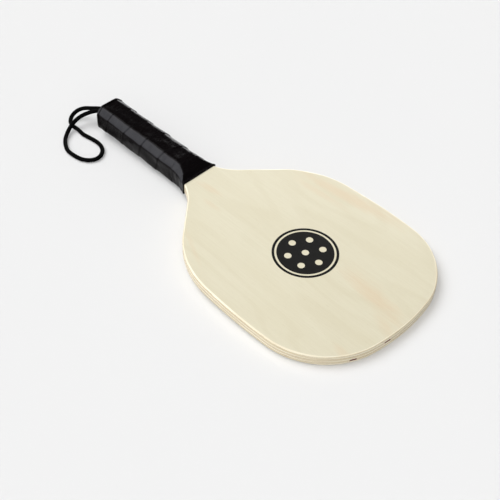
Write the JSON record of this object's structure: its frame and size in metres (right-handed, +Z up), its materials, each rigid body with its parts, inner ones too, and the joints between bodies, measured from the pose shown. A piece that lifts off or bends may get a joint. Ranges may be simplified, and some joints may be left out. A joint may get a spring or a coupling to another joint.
{
  "type": "pickleball paddle",
  "caption": "Wooden pickleball paddle: laminated plywood blade, taped octagonal grip with a spiral wrap, and an elastic wrist cord looped from the butt.",
  "frame": {"origin": "on the table under the middle of the paddle, without its cord", "axes": "+X from the butt to the tip of the blade, +Y across the blade, +Z up from the table that the paddle lies on"},
  "size_m": [0.4416, 0.195, 0.0344],
  "materials": {
    "face_veneer": "satin lacquered pale basswood",
    "crossband_ply": "sanded edge grain",
    "long_ply": "sanded end grain",
    "handle_wood": "bare wood under the tape",
    "grip_tape": "glossy black vinyl tape, wound in a spiral",
    "plug_rubber": "matt black",
    "elastic_cord": "braided cover over a rubber core",
    "ink": "screen-printed black ink"
  },
  "bodies": {
    "root": {"top_face_veneer": "face_veneer", "upper_crossband": "crossband_ply", "upper_long_ply": "long_ply", "centre_crossband": "crossband_ply", "lower_long_ply": "long_ply", "lower_crossband": "crossband_ply", "bottom_face_veneer": "face_veneer", "upper_handle_scale": "handle_wood", "lower_handle_scale": "handle_wood", "spiral_grip_tape": "grip_tape", "throat_tape": "grip_tape", "neck_finishing_band": "grip_tape", "butt_tape_fold": "grip_tape", "cord_anchor_plug": "plug_rubber", "wrist_cord": "elastic_cord", "face_mark": "ink"}
  },
  "joints": []
}
